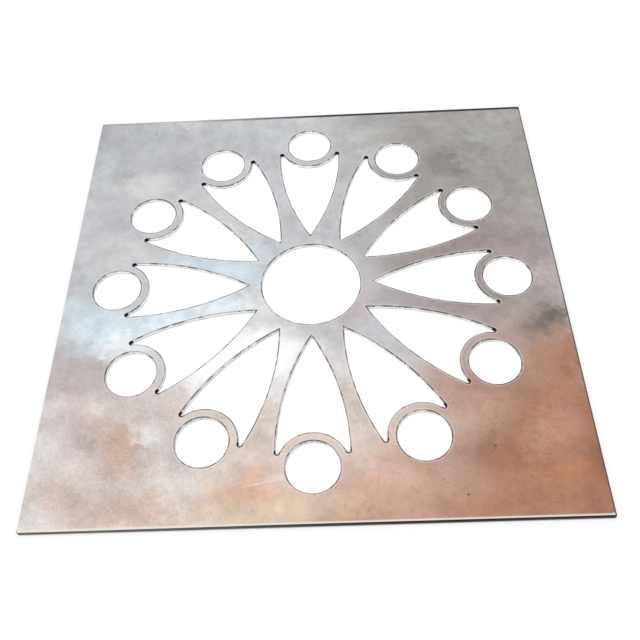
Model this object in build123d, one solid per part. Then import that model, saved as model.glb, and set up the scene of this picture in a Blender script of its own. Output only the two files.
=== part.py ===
"""A square steel sheet, laser cut with a twelve-fold rosette.

One piece of plate: a large centre hole, a ring of pointed petal openings around it, and a round
hole at the outer end of each petal. The petal wraps round its hole and leaves a collar of metal
between the two. The plate lies flat, its underside on Z = 0 and its middle on the Z axis.
All sizes are in millimetres.
"""

from build123d import *
from math import hypot, sqrt
import os

# The blank.
SHEET_SIDE = 300.0
SHEET_THICKNESS = 2.0
SHEET_CORNER_RADIUS = 0.8  # the four corners are dulled
EDGE_BREAK = 0.2  # chamfer left by dressing the upper face, along every edge of it

# The rosette.
PETAL_COUNT = 12
CENTRE_HOLE_RADIUS = 30.0
HUB_WIDTH = 8.0  # metal from the centre hole to the point where a petal's sides would meet
ROUND_HOLE_RADIUS = 14.5
RIM_WIDTH = 16.5  # narrowest metal between a round hole and the sheet's edge
COLLAR_WIDTH = 5.2  # metal between a round hole and its petal
PETAL_OVERHANG = 0.3  # how far a petal is wider than the collar, on each side
SPRING_SETBACK = 7.6  # from the round hole's centre in to where its petal is widest
PETAL_TIP_RADIUS = 0.5  # inner point of a petal
HORN_RADIUS = 1.05  # the two outer ends of a petal, beside the collar
FIRST_PETAL_ANGLE = 90.0  # degrees from +X

# What follows from them.
pitch_radius = SHEET_SIDE / 2 - RIM_WIDTH - ROUND_HOLE_RADIUS
collar_radius = ROUND_HOLE_RADIUS + COLLAR_WIDTH
petal_point = CENTRE_HOLE_RADIUS + HUB_WIDTH
petal_half_width = collar_radius + PETAL_OVERHANG
spring_radius = pitch_radius - SPRING_SETBACK


def toward(start, end, distance):
    """The point that far from start, in the direction of end."""
    dx, dy = end[0] - start[0], end[1] - start[1]
    length = hypot(dx, dy)
    return (start[0] + dx * distance / length, start[1] + dy * distance / length)


def arc_about(centre, start, end):
    """The arc of less than half a turn from start to end about centre."""
    radius = hypot(start[0] - centre[0], start[1] - centre[1])
    middle = ((start[0] + end[0]) / 2, (start[1] + end[1]) / 2)
    return ThreePointArc(start, toward(centre, middle, radius), end)


def meeting_point(centre_a, radius_a, centre_b, radius_b):
    """Where two circles cross, on the right-hand side going from centre a to centre b."""
    dx, dy = centre_b[0] - centre_a[0], centre_b[1] - centre_a[1]
    span = hypot(dx, dy)
    along = (span**2 + radius_a**2 - radius_b**2) / (2 * span)
    aside = sqrt(radius_a**2 - along**2)
    return (
        centre_a[0] + (along * dx + aside * dy) / span,
        centre_a[1] + (along * dy - aside * dx) / span,
    )


def petal_face():
    """One petal opening, its axis along +X from the middle of the sheet.

    Each side is one arc. The two sides spring from the widest place, where they run parallel to
    the axis, and meet at the point. The outer end is an arc round the collar, and a small round
    closes the horn on each side of it and the point.
    """
    reach = spring_radius - petal_point
    side_radius = (petal_half_width**2 + reach**2) / (2 * petal_half_width)
    side_centre = (spring_radius, petal_half_width - side_radius)
    hole_centre = (pitch_radius, 0.0)

    tip_depth = sqrt((side_radius - PETAL_TIP_RADIUS) ** 2 - side_centre[1] ** 2)
    tip_centre = (spring_radius - tip_depth, 0.0)
    horn_centre = meeting_point(
        hole_centre, collar_radius + HORN_RADIUS, side_centre, side_radius - HORN_RADIUS
    )

    side_start = toward(side_centre, tip_centre, side_radius)
    side_end = toward(side_centre, horn_centre, side_radius)
    collar_end = toward(hole_centre, horn_centre, collar_radius)

    with BuildLine() as half:
        arc_about(side_centre, side_start, side_end)
        arc_about(horn_centre, side_end, collar_end)
    with BuildSketch() as petal:
        with BuildLine():
            add(half.line)
            arc_about(hole_centre, collar_end, (collar_end[0], -collar_end[1]))
            add(mirror(half.line, about=Plane.XZ))
            arc_about(tip_centre, (side_start[0], -side_start[1]), side_start)
        make_face()
    return petal.sketch


def rosette_sheet():
    """The blank with every opening cut through it. Its upper edges are broken, its lower ones sharp."""
    with BuildPart() as sheet:
        with BuildSketch():
            RectangleRounded(SHEET_SIDE, SHEET_SIDE, SHEET_CORNER_RADIUS)
            Circle(CENTRE_HOLE_RADIUS, mode=Mode.SUBTRACT)
            with PolarLocations(pitch_radius, PETAL_COUNT, FIRST_PETAL_ANGLE):
                Circle(ROUND_HOLE_RADIUS, mode=Mode.SUBTRACT)
            with PolarLocations(0, PETAL_COUNT, FIRST_PETAL_ANGLE):
                add(petal_face(), mode=Mode.SUBTRACT)
        extrude(amount=SHEET_THICKNESS)
        chamfer(sheet.faces().sort_by(Axis.Z)[-1].edges(), EDGE_BREAK)
    return sheet.part


os.makedirs("parts", exist_ok=True)
export_step(rosette_sheet(), "parts/perforated_sheet.step")
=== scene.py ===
"""A square steel sheet, laser cut with a twelve-fold rosette, lying on a pale floor."""

import math

import bpy
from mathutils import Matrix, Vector


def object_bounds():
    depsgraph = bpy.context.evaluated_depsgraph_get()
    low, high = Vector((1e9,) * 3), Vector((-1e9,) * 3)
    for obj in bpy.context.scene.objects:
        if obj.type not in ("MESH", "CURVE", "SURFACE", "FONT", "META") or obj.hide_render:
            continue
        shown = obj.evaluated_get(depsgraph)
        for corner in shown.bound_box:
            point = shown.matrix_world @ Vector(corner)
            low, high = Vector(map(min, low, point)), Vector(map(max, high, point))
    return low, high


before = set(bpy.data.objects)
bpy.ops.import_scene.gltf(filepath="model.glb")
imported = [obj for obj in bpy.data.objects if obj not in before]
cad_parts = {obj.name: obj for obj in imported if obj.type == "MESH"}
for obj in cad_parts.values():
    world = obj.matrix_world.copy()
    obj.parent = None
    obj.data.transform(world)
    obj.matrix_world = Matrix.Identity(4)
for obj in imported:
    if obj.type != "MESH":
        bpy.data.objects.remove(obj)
cad_low, cad_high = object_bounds()
scene = bpy.context.scene
scene.view_settings.view_transform = "Standard"

# ------------------------------------------------------------------------------------------------
# The camera. It is held in the hand above the near side of the sheet and looks down at its middle,
# about two degrees off level and one degree off square.
CAMERA_LENS = 42.02  # millimetres
CAMERA_PLACE = (0.01672, -0.27158, 0.36766)  # metres
CAMERA_TURN = (33.683, 2.403, -0.880)  # degrees about X, Y and Z
NEAREST_SEEN = 0.01  # metres

camera_data = bpy.data.cameras.new("camera")
camera_data.lens = CAMERA_LENS
camera_data.clip_start = NEAREST_SEEN
camera = bpy.data.objects.new("camera", camera_data)
camera.location = CAMERA_PLACE
camera.rotation_euler = [math.radians(turn) for turn in CAMERA_TURN]
scene.collection.objects.link(camera)
scene.camera = camera


# ------------------------------------------------------------------------------------------------
# The floor and the light. A plain white floor takes the sheet's shadow, a soft sun comes over the
# far left corner, and a white room lights the rest and shows in the metal.
FLOOR_SIDE = 6.0  # metres
FLOOR_DROP = 0.00005  # metres; keeps the floor just under the sheet
FLOOR_GLOW = 0.14  # share of the floor that shows plain white whatever falls on it
ROOM_LIGHT = 0.45  # the room is this bright as a light, and plain white where it is seen
SUN_LIGHT = 1.86
SUN_HEIGHT = 74.0  # degrees above the floor
SUN_HEADING = 128.0  # degrees from +X, where the light comes from
SUN_WIDTH = 14.0  # degrees across, for a soft shadow


def feed(tree, socket, value):
    """Joins a socket to another node's output, or sets its plain value."""
    if isinstance(value, bpy.types.NodeSocket):
        tree.links.new(value, socket)
    else:
        socket.default_value = value


def calc(tree, operation, *values):
    """One step of arithmetic on numbers or sockets; gives the output socket."""
    step = tree.nodes.new("ShaderNodeMath")
    step.operation = operation
    for socket, value in zip(step.inputs, values):
        feed(tree, socket, value)
    return step.outputs[0]


def seen_directly(tree):
    """1 for what the camera sees, also in a reflection or through glass, and 0 for lighting."""
    path = tree.nodes.new("ShaderNodeLightPath")
    reflected, passed = path.outputs["Is Glossy Ray"], path.outputs["Is Transmission Ray"]
    indirectly = calc(tree, "MAXIMUM", reflected, passed)
    return calc(tree, "MAXIMUM", path.outputs["Is Camera Ray"], indirectly)


WHITE = (1.0, 1.0, 1.0, 1.0)

room = bpy.data.worlds.new("white_room")
room.use_nodes = True
background = room.node_tree.nodes["Background"]
background.inputs["Color"].default_value = WHITE
shown = seen_directly(room.node_tree)
room_level = calc(room.node_tree, "MULTIPLY_ADD", shown, 1.0 - ROOM_LIGHT, ROOM_LIGHT)
feed(room.node_tree, background.inputs["Strength"], room_level)
scene.world = room

sun_data = bpy.data.lights.new("sun", "SUN")
sun_data.energy = SUN_LIGHT
sun_data.angle = math.radians(SUN_WIDTH)
sun = bpy.data.objects.new("sun", sun_data)
heading, height = math.radians(SUN_HEADING), math.radians(SUN_HEIGHT)
sun_from = Vector(
    (math.cos(heading) * math.cos(height), math.sin(heading) * math.cos(height), math.sin(height))
)
sun.rotation_euler = sun_from.to_track_quat("Z", "Y").to_euler()
sun.visible_glossy = False  # the metal shows the white room, not a lamp
scene.collection.objects.link(sun)

floor_paint = bpy.data.materials.new("white_floor")
floor_paint.use_nodes = True
tree = floor_paint.node_tree
tree.nodes.clear()
matt = tree.nodes.new("ShaderNodeBsdfDiffuse")
matt.inputs["Color"].default_value = WHITE
glowing = tree.nodes.new("ShaderNodeEmission")
glowing.inputs["Color"].default_value = WHITE
glowing.inputs["Strength"].default_value = 1.0
from_above = tree.nodes.new("ShaderNodeMixShader")
glow = calc(tree, "MULTIPLY", seen_directly(tree), FLOOR_GLOW)
feed(tree, from_above.inputs["Fac"], glow)
feed(tree, from_above.inputs[1], matt.outputs[0])
feed(tree, from_above.inputs[2], glowing.outputs[0])
clear = tree.nodes.new("ShaderNodeBsdfTransparent")
two_sided = tree.nodes.new("ShaderNodeMixShader")  # seen from below, the floor is clear
feed(tree, two_sided.inputs["Fac"], tree.nodes.new("ShaderNodeNewGeometry").outputs["Backfacing"])
feed(tree, two_sided.inputs[1], from_above.outputs[0])
feed(tree, two_sided.inputs[2], clear.outputs[0])
feed(tree, tree.nodes.new("ShaderNodeOutputMaterial").inputs["Surface"], two_sided.outputs[0])

half = FLOOR_SIDE / 2
level = cad_low.z - FLOOR_DROP
corners = [(-half, -half, level), (half, -half, level), (half, half, level), (-half, half, level)]
floor_mesh = bpy.data.meshes.new("floor")
floor_mesh.from_pydata(corners, [], [(0, 1, 2, 3)])
floor_mesh.materials.append(floor_paint)
floor = bpy.data.objects.new("floor", floor_mesh)
scene.collection.objects.link(floor)

# ------------------------------------------------------------------------------------------------
# The sheet. It is one piece of 2 mm steel sheet, dull, with the rosette cut through it by laser.
# The cut walls are pale, with a painted shade as a dark line along the top and a painted shade
# spot at each petal horn. The face carries a straw and brown tint, a painted pale-blue and white
# reflection, painted highlights and shade along its edges, wiped places and a few marks. Sizes in
# mm.
MM_IN_A_METRE = 1000.0
SHEET_SIDE = (cad_high.x - cad_low.x) * MM_IN_A_METRE
SHEET_THICKNESS = (cad_high.z - cad_low.z) * MM_IN_A_METRE
EDGE_BREAK = 0.2
PETAL_STEP = math.radians(30.0)  # from one petal to the next
CENTRE_HOLE = 30.0  # radius
PITCH_RADIUS = 119.0  # of the circle that the round holes stand on
ROUND_HOLE = 14.5  # radius
COLLAR = 5.2  # metal between a round hole and its petal
PETAL_POINT = 38.0  # from the sheet's middle to where a petal's sides would meet
PETAL_HALF_WIDTH = 20.0
SPRING_SETBACK = 7.6  # from a round hole's middle in to where its petal is widest
HORN = 1.05  # radius of a petal's two outer ends


def tone(red, green, blue):
    """A colour by its screen values, 0 to 255."""
    parts = [value / 255 for value in (red, green, blue)]
    return [p / 12.92 if p <= 0.04045 else ((p + 0.055) / 1.055) ** 2.4 for p in parts] + [1.0]


def new_group(name, inputs, outputs):
    """An empty shader group with its sockets; gives the group and its two end nodes."""
    group = bpy.data.node_groups.new(name, "ShaderNodeTree")
    for socket, kind in inputs.items():
        group.interface.new_socket(socket, in_out="INPUT", socket_type="NodeSocket" + kind)
    for socket, kind in outputs.items():
        group.interface.new_socket(socket, in_out="OUTPUT", socket_type="NodeSocket" + kind)
    return group, group.nodes.new("NodeGroupInput"), group.nodes.new("NodeGroupOutput")


def placed(tree, group, **values):
    """A group in use, with its inputs set; gives the node."""
    used = tree.nodes.new("ShaderNodeGroup")
    used.node_tree = group
    for name, value in values.items():
        feed(tree, used.inputs[name], value)
    return used


def vector_calc(tree, operation, *values, output="Vector", **named):
    """One step on vectors; gives the output socket."""
    step = tree.nodes.new("ShaderNodeVectorMath")
    step.operation = operation
    for socket, value in zip(step.inputs, values):
        feed(tree, socket, value)
    for name, value in named.items():
        feed(tree, step.inputs[name], value)
    return step.outputs[output]


def joined(tree, x, y, z=0.0):
    """A vector from three numbers or sockets."""
    step = tree.nodes.new("ShaderNodeCombineXYZ")
    for socket, value in zip(step.inputs, (x, y, z)):
        feed(tree, socket, value)
    return step.outputs[0]


def ramped(tree, value, start, end, low=0.0, high=1.0, smooth=True):
    """A value carried from one range to another, held at both ends."""
    step = tree.nodes.new("ShaderNodeMapRange")
    step.interpolation_type = "SMOOTHSTEP" if smooth else "LINEAR"
    names = ("Value", "From Min", "From Max", "To Min", "To Max")
    for name, number in zip(names, (value, start, end, low, high)):
        feed(tree, step.inputs[name], number)
    return step.outputs["Result"]


MIX_SHARE, MIX_UNDER, MIX_OVER = 0, 6, 7  # the Mix node's sockets for colours
MIX_COLOUR = 2


def blended(tree, share, under, over):
    """One colour laid over another, by a share from 0 to 1."""
    step = tree.nodes.new("ShaderNodeMix")
    step.data_type = "RGBA"
    step.clamp_factor = True
    feed(tree, step.inputs[MIX_SHARE], share)
    feed(tree, step.inputs[MIX_UNDER], under)
    feed(tree, step.inputs[MIX_OVER], over)
    return step.outputs[MIX_COLOUR]


def speckle(tree, place, size, detail=2.0, roughness=0.5, output="Fac"):
    """Noise whose blotches are about that many millimetres across."""
    step = tree.nodes.new("ShaderNodeTexNoise")
    step.inputs["Scale"].default_value = 1.0 / size
    step.inputs["Detail"].default_value = detail
    step.inputs["Roughness"].default_value = roughness
    feed(tree, step.inputs["Vector"], place)
    return step.outputs[output]


# The petal's outline, from its sizes: each side is one arc, and a small round closes each horn.
side_reach = PITCH_RADIUS - SPRING_SETBACK - PETAL_POINT
side_radius = (PETAL_HALF_WIDTH**2 + side_reach**2) / (2 * PETAL_HALF_WIDTH)
side_centre = (PITCH_RADIUS - SPRING_SETBACK, PETAL_HALF_WIDTH - side_radius)
collar_radius = ROUND_HOLE + COLLAR
to_side_centre = Vector((side_centre[0] - PITCH_RADIUS, side_centre[1]))
span = to_side_centre.length
along = (span**2 + (collar_radius + HORN) ** 2 - (side_radius - HORN) ** 2) / (2 * span)
aside = math.sqrt((collar_radius + HORN) ** 2 - along**2)
ahead = to_side_centre / span
horn_centre = (
    PITCH_RADIUS + ahead.x * along + ahead.y * aside,
    ahead.y * along - ahead.x * aside,
)

# How far each point of the face is from the nearest laser cut, from the sheet's outer edge, and
# from the middle of the nearest horn.
cuts_group, given, result = new_group(
    "distance_from_the_cuts",
    {"Place": "Vector"},
    {"Cut": "Float", "Edge": "Float", "Horn": "Float"},
)
t = cuts_group  # t is always the node tree that is being built
split = t.nodes.new("ShaderNodeSeparateXYZ")
feed(t, split.inputs[0], given.outputs["Place"])
across, away = split.outputs[0], split.outputs[1]
flat_place = joined(t, across, away)
radius = vector_calc(t, "LENGTH", flat_place, output="Value")
bearing = calc(t, "WRAP", calc(t, "ARCTAN2", away, across), PETAL_STEP / 2, -PETAL_STEP / 2)
outward = calc(t, "MULTIPLY", radius, calc(t, "COSINE", bearing))
sideways = calc(t, "ABSOLUTE", calc(t, "MULTIPLY", radius, calc(t, "SINE", bearing)))
in_petal = joined(t, outward, sideways)


def distance_to(tree, point):
    """How far each place is from that point of its own petal."""
    return vector_calc(tree, "DISTANCE", in_petal, (point[0], point[1], 0.0), output="Value")


from_hole = distance_to(t, (PITCH_RADIUS, 0.0))
from_horn = distance_to(t, horn_centre)
side_gap = calc(t, "SUBTRACT", distance_to(t, side_centre), side_radius)
collar_gap = calc(t, "SUBTRACT", collar_radius, from_hole)
past_horn = calc(t, "GREATER_THAN", outward, horn_centre[0])
short_of_horn = calc(t, "SUBTRACT", 1.0, past_horn)
outline_gap = calc(t, "MULTIPLY", calc(t, "MAXIMUM", side_gap, collar_gap), short_of_horn)
horn_gap = calc(t, "MULTIPLY", calc(t, "SUBTRACT", from_horn, HORN), past_horn)
petal_gap = calc(t, "ADD", outline_gap, horn_gap)
nearest = calc(t, "MINIMUM", petal_gap, calc(t, "SUBTRACT", from_hole, ROUND_HOLE))
nearest = calc(t, "MINIMUM", nearest, calc(t, "SUBTRACT", radius, CENTRE_HOLE))
rim = calc(t, "MAXIMUM", calc(t, "ABSOLUTE", across), calc(t, "ABSOLUTE", away))
feed(t, result.inputs["Cut"], nearest)
feed(t, result.inputs["Edge"], calc(t, "SUBTRACT", SHEET_SIDE / 2, rim))
feed(t, result.inputs["Horn"], from_horn)

# One soft-edged oval, used for every tinted, wiped or scuffed place and every painted reflection.
patch_group, given, result = new_group(
    "soft_patch",
    {
        "Place": "Vector",
        "Middle": "Vector",
        "Half size": "Vector",
        "Turn": "Float",
        "Softness": "Float",
    },
    {"Mask": "Float"},
)
t = patch_group
moved = vector_calc(t, "SUBTRACT", given.outputs["Place"], given.outputs["Middle"])
turned = t.nodes.new("ShaderNodeVectorRotate")
turned.rotation_type = "Z_AXIS"
feed(t, turned.inputs["Vector"], moved)
feed(t, turned.inputs["Angle"], calc(t, "MULTIPLY", given.outputs["Turn"], -math.radians(1)))
scaled = vector_calc(t, "DIVIDE", turned.outputs[0], given.outputs["Half size"])
reach = vector_calc(t, "LENGTH", scaled, output="Value")
inside = calc(t, "SUBTRACT", 1.0, given.outputs["Softness"])
outside = calc(t, "ADD", 1.0, given.outputs["Softness"])
feed(t, result.inputs["Mask"], ramped(t, reach, inside, outside, 1.0, 0.0))

# The steel itself. Places on it are in millimetres: across to the right, away from the near side.
steel = bpy.data.materials.new("tinted_steel")
steel.use_nodes = True
t = steel.node_tree
shader = t.nodes["Principled BSDF"]
own_place = t.nodes.new("ShaderNodeTexCoord")
place = vector_calc(t, "SCALE", own_place.outputs["Object"], Scale=MM_IN_A_METRE)
split = t.nodes.new("ShaderNodeSeparateXYZ")
feed(t, split.inputs[0], place)
across, away, up = split.outputs
flat_place = joined(t, across, away)
cuts = placed(t, cuts_group, Place=place)

# Which way the surface looks: the upright walls, and the underside.
WALL_LEAN = 0.35  # what leans less than this is a wall; the broken edge leans twice as far
facing = t.nodes.new("ShaderNodeSeparateXYZ")
feed(t, facing.inputs[0], t.nodes.new("ShaderNodeNewGeometry").outputs["True Normal"])
upward = facing.outputs[2]
on_wall = calc(t, "LESS_THAN", calc(t, "ABSOLUTE", upward), WALL_LEAN)
underneath = calc(t, "LESS_THAN", upward, -0.5)

# The tints and the painted reflection wander: their outlines are pulled about by broad and by small
# blotches.
BROAD_BLOTCH = 30.0
SMALL_BLOTCH = 6.0
WANDER = 24.0  # between the blotches' farthest pulls to either side


def pulled_by(blotches):
    """The pull of some blotches on an outline."""
    centred = vector_calc(t, "SUBTRACT", blotches, (0.5, 0.5, 0.5))
    return vector_calc(t, "MULTIPLY", centred, (WANDER, WANDER, 0.0))


pull = pulled_by(speckle(t, place, BROAD_BLOTCH, 3.0, 0.55, "Color"))
nudge = pulled_by(speckle(t, place, SMALL_BLOTCH, 5.0, 0.65, "Color"))
wandering = vector_calc(t, "ADD", vector_calc(t, "ADD", flat_place, pull), nudge)

# Colours laid over the bare steel in places.
BARE = tone(201, 203, 206)
DULL = tone(178, 180, 183)
PALE = tone(226, 222, 220)
# The next two are painted reflection: the near white and the pale blue of the sheen.
BRIGHT = tone(253, 253, 253)
BLUE = tone(218, 234, 243)
LILAC = tone(190, 178, 178)
WARM_GREY = tone(166, 161, 156)
PLUM_GREY = tone(160, 148, 145)
OLIVE = tone(136, 134, 129)
SMUDGE = tone(112, 102, 96)
STRAW = tone(222, 208, 199)
ROSE_GREY = tone(214, 205, 203)
CREAM = tone(222, 200, 176)
PEACH = tone(206, 168, 148)
ORANGE = tone(220, 180, 154)
TAN = tone(204, 178, 165)
FAWN = tone(180, 147, 132)
BROWN = tone(175, 129, 106)
DEEP_BROWN = tone(156, 108, 82)
AMBER = tone(190, 132, 96)

# Each tint or painted reflection is an oval: its colour, middle, half size, turn in degrees,
# softness and strength.
STAINS = [
    # The broad fields: warm grey far right, straw over the near side, brown at the near right.
    (WARM_GREY, (108, 95), (76, 82), 0, 0.55, 0.97),
    (PLUM_GREY, (100, 8), (58, 44), 0, 0.55, 0.92),
    (STRAW, (-30, -125), (170, 66), 0, 0.35, 1.0),
    (ROSE_GREY, (-122, -96), (62, 58), 0, 0.6, 0.8),
    (FAWN, (120, -76), (52, 44), 0, 0.75, 0.95),
    (BROWN, (132, -115), (64, 46), 8, 0.5, 0.97),
    # Far left: grey, a little cloudy, with a painted blue reflection towards the hub.
    (DULL, (-150, 150), (32, 24), 0, 0.8, 0.9),
    (DULL, (-92, 118), (46, 34), 0, 0.8, 0.4),
    (DULL, (-94, 106), (13, 9), 30, 0.8, 0.5),
    (DULL, (-126, 101), (6, 12), 0, 0.8, 0.6),
    (DULL, (-126, 47), (8, 9), 0, 0.8, 0.4),
    (DULL, (-149, 107), (6, 9), 0, 0.8, 0.7),
    (PALE, (-92, 147), (13, 6), 0, 0.8, 0.75),
    (PALE, (-114, 88), (17, 9), 10, 0.7, 0.5),
    (PALE, (-122, 30), (20, 9), 0, 0.8, 0.4),
    (PALE, (-60, 54), (30, 9), -45, 0.7, 0.45),
    (BLUE, (-62, 14), (36, 9), -12, 0.7, 0.75),
    (BLUE, (-34, 27), (9, 7), 0, 0.8, 0.5),
    (DULL, (-149, 14), (7, 9), 0, 0.8, 0.6),
    # Far middle: lighter and duller clouds, down to the hub.
    (PALE, (35, 130), (8, 8), 0, 0.8, 0.35),
    (PALE, (45, 110), (9, 9), 0, 0.8, 0.4),
    (PALE, (-44, 107), (8, 8), 0, 0.8, 0.55),
    (PALE, (18, 74), (6, 15), -15, 0.8, 0.3),
    (DULL, (38, 139), (20, 7), 0, 0.8, 0.7),
    (DULL, (21, 136), (9, 8), 0, 0.8, 0.6),
    (PALE, (-2, 142), (9, 5), 0, 0.8, 0.3),
    (DULL, (2, 38), (9, 8), 0, 0.8, 0.5),
    (DULL, (28, 36), (8, 8), 0, 0.8, 0.9),
    # Far right: a lighter corner, an olive smudge and a dull band down to the right-hand hole.
    (LILAC, (140, 143), (14, 8), 0, 0.8, 0.35),
    (DULL, (74, 141), (24, 6), 0, 0.8, 0.6),
    (OLIVE, (86, 102), (11, 13), 20, 0.8, 0.8),
    (WARM_GREY, (76, 146), (50, 7), 0, 0.8, 0.5),
    (OLIVE, (98, 93), (9, 7), 0, 0.8, 0.45),
    (DULL, (120, 119), (11, 7), 0, 0.8, 0.6),
    (LILAC, (126, 44), (12, 6), -20, 0.8, 0.3),
    (LILAC, (120, 17), (17, 7), -50, 0.8, 0.4),
    (PLUM_GREY, (127, 23), (9, 8), 0, 0.8, 0.6),
    (WARM_GREY, (129, -16), (9, 7), 0, 0.8, 0.5),
    (DULL, (135, 88), (9, 6), 0, 0.8, 0.5),
    (LILAC, (146, -3), (10, 13), 0, 0.7, 0.85),
    (SMUDGE, (138, -34), (15, 10), 15, 0.8, 0.85),
    (LILAC, (149, -26), (5, 7), 0, 0.8, 0.35),
    # Near right: clouds of lighter and of deeper brown and amber.
    (BROWN, (141, -60), (15, 15), 0, 0.7, 0.8),
    (FAWN, (89, -90), (13, 18), -20, 0.7, 0.8),
    (TAN, (76, -101), (10, 14), -15, 0.8, 0.85),
    (FAWN, (76, -66), (13, 9), -40, 0.8, 0.55),
    (PEACH, (101, -85), (10, 6), 0, 0.8, 0.35),
    (PEACH, (130, -103), (16, 11), 10, 0.8, 0.4),
    (PEACH, (101, -93), (11, 8), 0, 0.8, 0.35),
    (DEEP_BROWN, (98, -114), (17, 8), -10, 0.8, 0.35),
    (DEEP_BROWN, (148, -118), (9, 28), 0, 0.8, 0.6),
    (DEEP_BROWN, (138, -114), (12, 8), 0, 0.8, 0.4),
    (AMBER, (127, -129), (16, 10), 10, 0.8, 0.6),
    (DEEP_BROWN, (148, -148), (20, 9), 0, 0.8, 0.6),
    (FAWN, (76, -123), (14, 9), 10, 0.8, 0.5),
    (PEACH, (66, -133), (14, 10), 0, 0.8, 0.5),
    # Near middle: peach, brown and cream, with tan and pale places.
    (PEACH, (36, -140), (42, 14), 0, 0.7, 0.8),
    (BROWN, (86, -147), (36, 14), 0, 0.8, 0.85),
    (PEACH, (18, -149), (16, 8), 0, 0.8, 0.7),
    (BROWN, (16, -150), (15, 7), 0, 0.8, 0.35),
    (TAN, (18, -82), (9, 9), 0, 0.8, 0.5),
    (PEACH, (27, -128), (12, 6), 0, 0.8, 0.6),
    (TAN, (25, -118), (9, 6), 0, 0.8, 0.6),
    (PEACH, (46, -117), (19, 15), 0, 0.8, 0.65),
    (BROWN, (57, -119), (9, 8), 0, 0.8, 0.4),
    (CREAM, (-28, -141), (44, 9), 2, 0.7, 0.8),
    (PALE, (-70, -130), (14, 11), 0, 0.8, 0.6),
    # Near left: blotchy, wiped pale in places and tan in others.
    (TAN, (-95, -138), (24, 9), 5, 0.7, 0.75),
    (TAN, (-134, -130), (14, 8), 15, 0.8, 0.4),
    (TAN, (-105, -107), (12, 13), 20, 0.6, 1.0),
    (TAN, (-119, -96), (13, 6), 15, 0.7, 0.45),
    (TAN, (-129, -88), (10, 6), 0, 0.8, 0.5),
    (LILAC, (-131, -99), (10, 10), 0, 0.8, 0.75),
    (LILAC, (-130, -58), (22, 16), 0, 0.7, 0.75),
    (LILAC, (-148, -60), (10, 14), 0, 0.8, 0.7),
    (LILAC, (-90, -111), (8, 6), 0, 0.8, 0.5),
    (PALE, (-87, -99), (8, 9), 20, 0.7, 0.95),
    (PALE, (-146, -105), (10, 12), 0, 0.8, 0.9),
    (PALE, (-147, -79), (8, 7), 0, 0.8, 0.7),
    (PALE, (-145, -143), (8, 7), 0, 0.8, 0.8),
    # The painted reflection: a pale-blue and white sheen painted from the left edge to the hub, and
    # the duller metal beside it.
    (BLUE, (-128, -24), (30, 14), -24, 0.6, 0.75),
    (BLUE, (-80, -24), (46, 12), 17, 0.6, 0.85),
    (BARE, (-108, -23), (12, 7), 0, 0.8, 0.4),
    (BARE, (-143, -27), (10, 10), 0, 0.8, 0.6),
    (BRIGHT, (-108, -40), (14, 7), 0, 0.8, 0.55),
    (BRIGHT, (-70, -21), (20, 7), 12, 0.8, 0.65),
    (BLUE, (-73, -16), (9, 6), 0, 0.8, 0.7),
    (PALE, (-22, -36), (14, 12), 0, 0.8, 0.6),
    (BRIGHT, (-33, -14), (11, 8), 0, 0.8, 0.65),
    (PALE, (14, -60), (16, 26), 10, 0.8, 0.5),
    (BRIGHT, (-41, -51), (35, 23), 15, 0.5, 0.6),
    (BARE, (-5, -35), (11, 9), 0, 0.8, 0.8),
    (LILAC, (27, -21), (21, 9), 42, 0.8, 0.75),
    (LILAC, (35, -14), (8, 7), 0, 0.8, 0.6),
    (PLUM_GREY, (63, -20), (12, 8), 0, 0.8, 0.5),
    (BRIGHT, (-17, -73), (9, 9), 0, 0.8, 0.5),
]

# Two orange places by the scratch and a cream one beside them, rubbed in and soft.
RUBBED = [
    (ORANGE, (-30, -122), (9, 5), 15, 0.8, 0.7),
    (ORANGE, (-33, -132), (17, 5), 4, 0.8, 0.85),
    (CREAM, (-46, -137), (8, 4), 0, 0.8, 0.6),
]


def stained(colour, where, stains):
    """The colour with every tint, mark or painted reflection of a list laid over it, in order."""
    for finish, middle, half_size, turn, softness, strength in stains:
        oval = placed(t, patch_group, Place=where, Middle=(*middle, 0.0), Turn=turn)
        oval.inputs["Softness"].default_value = softness
        oval.inputs["Half size"].default_value = (*half_size, 1.0)
        colour = blended(t, calc(t, "MULTIPLY", oval.outputs["Mask"], strength), colour, finish)
    return colour


GENTLE = 0.3  # share of the small blotches' pull that the rubbed places feel
colour = stained(BARE, wandering, STAINS)
gentle = vector_calc(t, "ADD", flat_place, vector_calc(t, "SCALE", nudge, Scale=GENTLE))
colour = stained(colour, gentle, RUBBED)

# The near side is the blotchiest: warm clouds over the tints there.
WARM_CLOUD = 13.0
WARMTH = (0.98, 0.9, 0.83)  # what a warm cloud leaves of the red, green and blue
near_side = ramped(t, away, -40.0, -90.0)
near_left = calc(t, "MULTIPLY", near_side, ramped(t, across, -20.0, -90.0))
near_right = calc(t, "MULTIPLY", near_side, ramped(t, across, 20.0, 90.0))
warm_cloud = ramped(t, speckle(t, place, WARM_CLOUD, 8.0, 0.66), 0.47, 0.63, smooth=False)
warm_share = calc(t, "MULTIPLY", calc(t, "MULTIPLY", warm_cloud, near_side), 0.3)
colour = blended(t, warm_share, colour, vector_calc(t, "MULTIPLY", colour, WARMTH))

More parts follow.
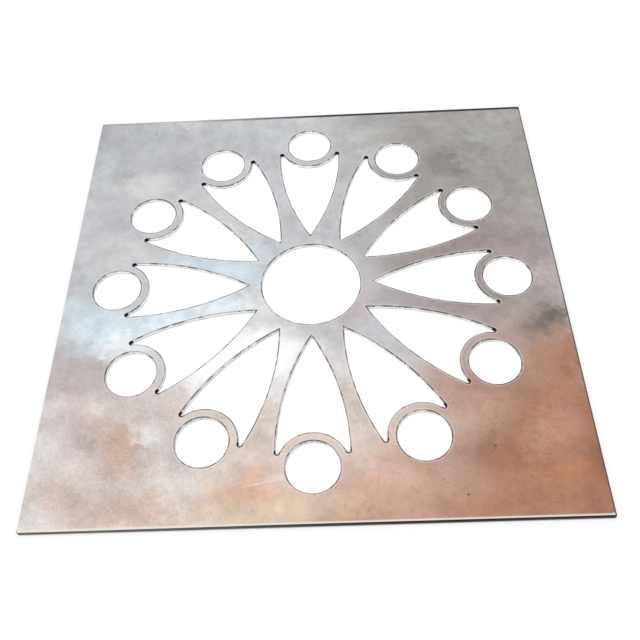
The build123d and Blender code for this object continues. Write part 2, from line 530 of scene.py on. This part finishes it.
# Mottling, as more or less light: clouds all over, specks most at the near left, grain most along
# the near side, and freckles that fade out to the left.
CLOUD = 24.0
SPECK = 0.8
GRAIN = 1.2
FRECKLE = 6.0
clouds = speckle(t, place, CLOUD, 10.0, 0.7)
light = calc(t, "ADD", clouds, 0.5)
specks = ramped(t, speckle(t, place, SPECK, 1.0, 0.5), 0.56, 0.72)
speck_share = calc(t, "MULTIPLY_ADD", near_left, 0.1, 0.03)
light = calc(t, "MULTIPLY_ADD", specks, speck_share, light)
grain = calc(t, "SUBTRACT", speckle(t, place, GRAIN, 4.0, 0.75), 0.5)
grain_share = calc(t, "MULTIPLY_ADD", near_side, 0.1, 0.22)
grain_share = calc(t, "MULTIPLY_ADD", near_left, 0.16, grain_share)
grain_share = calc(t, "MULTIPLY_ADD", ramped(t, across, 0.0, 90.0), 0.14, grain_share)
light = calc(t, "MULTIPLY_ADD", grain, grain_share, light)
freckles = calc(t, "SUBTRACT", speckle(t, place, FRECKLE, 4.0, 0.75), 0.5)
freckle_share = calc(t, "MULTIPLY_ADD", ramped(t, across, -90.0, -40.0), 0.16, 0.03)
light = calc(t, "MULTIPLY_ADD", freckles, freckle_share, light)
colour = vector_calc(t, "SCALE", colour, Scale=light)

# Faint wiping marks at the near left, which run down to the right, and the whitest of the painted
# reflection, a white sheen painted in.
WIPE = 2.0
WIPE_LENGTH = 2.4  # times its width
WIPE_TURN = -50.0  # degrees
WIPED = tone(248, 244, 242)
SHEEN = [(WHITE, (-41, -52), (33, 20), 15, 0.35, 0.95)]
wiping = t.nodes.new("ShaderNodeMapping")
wiping.vector_type = "TEXTURE"
wiping.inputs["Rotation"].default_value = (0.0, 0.0, math.radians(WIPE_TURN))
wiping.inputs["Scale"].default_value = (WIPE_LENGTH, 1.0, 1.0)
feed(t, wiping.inputs["Vector"], place)
wipes = ramped(t, speckle(t, wiping.outputs[0], WIPE, 3.0, 0.7), 0.52, 0.74)
wipe_share = calc(t, "MULTIPLY", near_left, 0.28)
colour = blended(t, calc(t, "MULTIPLY", wipes, wipe_share), colour, WIPED)
colour = stained(colour, wandering, SHEEN)

# Small marks that keep their outline: a bright scratch, two specks of rust and a few faint smears.
SCRATCH = tone(246, 218, 194)
RUST = tone(118, 78, 56)
SMEAR = tone(164, 164, 165)
MARKS = [
    (SCRATCH, (-26.5, -127.2), (10, 0.35), 11, 0.6, 0.9),
    (RUST, (95.9, -110.5), (0.8, 0.6), 0, 0.6, 0.8),
    (RUST, (78.5, -136.5), (0.7, 0.6), 0, 0.6, 0.8),
    (SMEAR, (-109.5, 138), (1.0, 2.4), 0, 0.7, 0.6),
    (SMEAR, (-117, 138), (0.8, 2.0), 0, 0.7, 0.5),
    (SMEAR, (-91, 104), (1.0, 0.9), 0, 0.7, 0.6),
    (SMEAR, (-72, 127), (1.0, 0.9), 0, 0.7, 0.5),
]
colour = stained(colour, flat_place, MARKS)

# Sparse pits of rust at the near right.
PIT = 1.5
pits = ramped(t, speckle(t, place, PIT, 1.0, 0.5), 0.24, 0.32, 1.0, 0.0)
pit_share = calc(t, "MULTIPLY", calc(t, "MULTIPLY", pits, near_right), 0.25)
colour = blended(t, pit_share, colour, RUST)

# The underside has lain on the cutting bed: duller, and plainer.
UNDERSIDE = tone(166, 164, 162)
colour = blended(t, underneath, colour, vector_calc(t, "SCALE", UNDERSIDE[:3], Scale=light))

# Beside each laser cut: a painted highlight as a light rim, and at the very cut a painted shade as
# a dark line, stronger in places.
SCALE_BREAK = 6.0  # length of its stronger and fainter stretches
LIGHT_RIM = tone(242, 242, 242)
CUT_SCALE = tone(84, 82, 80)
from_cut = cuts.outputs["Cut"]
broken = ramped(t, speckle(t, place, SCALE_BREAK, 3.0, 0.6), 0.46, 0.56)
light_rim = ramped(t, from_cut, EDGE_BREAK + 0.8, EDGE_BREAK + 1.6, 1.0, 0.0)
rim_share = calc(t, "MULTIPLY", light_rim, calc(t, "MULTIPLY_ADD", broken, -0.12, 0.3))
colour = blended(t, rim_share, colour, LIGHT_RIM)
scale_line = ramped(t, from_cut, EDGE_BREAK + 0.4, EDGE_BREAK + 0.65, 1.0, 0.0)
line_share = calc(t, "MULTIPLY", scale_line, calc(t, "MULTIPLY_ADD", broken, 0.4, 0.46))
colour = blended(t, line_share, colour, CUT_SCALE)

# Cut walls: pale grey with fine upright striations, and a painted shade along the top where the
# dark line is.
STRIATION = 0.6
STRETCH = (1.0, 1.0, 0.12)  # draws the striations out upwards
WALL_GREY = tone(232, 232, 231)
WALL_WHITE = tone(255, 255, 254)
WALL_SCALE = tone(92, 88, 86)
striations = speckle(t, vector_calc(t, "MULTIPLY", place, STRETCH), STRIATION, 2.0, 0.6)
wall_colour = blended(t, ramped(t, striations, 0.35, 0.65), WALL_GREY, WALL_WHITE)
top_line = ramped(t, up, SHEET_THICKNESS - 1.1, SHEET_THICKNESS - 0.6)
top_share = calc(t, "MULTIPLY", calc(t, "MULTIPLY", top_line, broken), 0.6)
wall_colour = blended(t, top_share, wall_colour, WALL_SCALE)
colour = blended(t, on_wall, colour, wall_colour)

# A painted shade at each petal horn: a dark spot where the narrow tip lies in shade. It reaches
# further out on the near side.
BURNT = tone(34, 30, 28)
spot_reach = ramped(t, away, -20.0, -60.0, 0.3, 0.62)
past_spot = calc(t, "SUBTRACT", cuts.outputs["Horn"], spot_reach)
spot = ramped(t, past_spot, HORN, HORN + 0.25, 1.0, 0.0)
colour = blended(t, spot, colour, BURNT)

# The sheet's own four edges. Their walls are painted dark as shade, more so to the right.
SCALE_LEFT = tone(104, 101, 96)
SCALE_RIGHT = tone(50, 49, 41)
from_edge = cuts.outputs["Edge"]
edge_scale = blended(t, ramped(t, across, -120.0, 60.0), SCALE_LEFT, SCALE_RIGHT)
outer_wall = calc(t, "MULTIPLY", on_wall, calc(t, "LESS_THAN", from_edge, 0.5))
striped = calc(t, "MULTIPLY_ADD", striations, 0.5, 0.75)
colour = blended(t, outer_wall, colour, vector_calc(t, "SCALE", edge_scale, Scale=striped))

# Along the near edge the face is painted bright as a highlight, with a painted shade line at its
# brink.
NEAR_BAND = 2.0
DRESSED = tone(240, 236, 230)
near_edge = calc(t, "LESS_THAN", away, NEAR_BAND - SHEET_SIDE / 2)
near_face = calc(t, "MULTIPLY", near_edge, calc(t, "SUBTRACT", 1.0, on_wall))
near_band = calc(t, "MULTIPLY", near_face, ramped(t, from_edge, 1.3, NEAR_BAND, 0.8, 0.0))
colour = blended(t, near_band, colour, DRESSED)
line_width = ramped(t, across, -130.0, 0.0, 0.3, 0.65)
near_line = ramped(t, from_edge, line_width, calc(t, "ADD", line_width, 0.15), 1.0, 0.0)
colour = blended(t, calc(t, "MULTIPLY", near_face, near_line), colour, edge_scale)

# The far and the right edge carry a painted shade along the rim, the far one more so to the right.
FAR_BAND = 2.8
RIGHT_BAND = 1.2
FAR_SCALE = tone(56, 54, 47)
RIGHT_SCALE = tone(74, 70, 64)
far_edge = calc(t, "GREATER_THAN", away, SHEET_SIDE / 2 - FAR_BAND)
far_share = calc(t, "MULTIPLY", far_edge, ramped(t, across, -115.0, 25.0, 0.12, 0.97))
far_rim = calc(t, "MULTIPLY", far_share, ramped(t, from_edge, 1.9, 2.7, 1.0, 0.0))
colour = blended(t, far_rim, colour, FAR_SCALE)
right_edge = calc(t, "GREATER_THAN", across, SHEET_SIDE / 2 - RIGHT_BAND)
right_edge = calc(t, "MULTIPLY", right_edge, calc(t, "SUBTRACT", 1.0, near_edge))
right_rim = calc(t, "MULTIPLY", right_edge, ramped(t, from_edge, 0.6, 1.1, 0.75, 0.0))
colour = blended(t, right_rim, colour, RIGHT_SCALE)

feed(t, shader.inputs["Base Color"], colour)
shader.inputs["Metallic"].default_value = 1.0

# How rough and how even it is: that varies with the clouds, and the walls are rougher and grooved.
SKIN_STRENGTH = 0.25
SKIN_DEPTH = 0.0001  # metres
roughness = calc(t, "MULTIPLY_ADD", clouds, 0.3, 0.26)
roughness = calc(t, "MULTIPLY_ADD", on_wall, 0.15, roughness)
feed(t, shader.inputs["Roughness"], roughness)
wall_grooves = calc(t, "MULTIPLY", striations, on_wall)
skin = t.nodes.new("ShaderNodeBump")
skin.inputs["Strength"].default_value = SKIN_STRENGTH
skin.inputs["Distance"].default_value = SKIN_DEPTH
feed(t, skin.inputs["Height"], calc(t, "MULTIPLY_ADD", clouds, 2.0, wall_grooves))
feed(t, shader.inputs["Normal"], skin.outputs["Normal"])

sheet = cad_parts["perforated_sheet"]
sheet.data.materials.clear()
sheet.data.materials.append(steel)
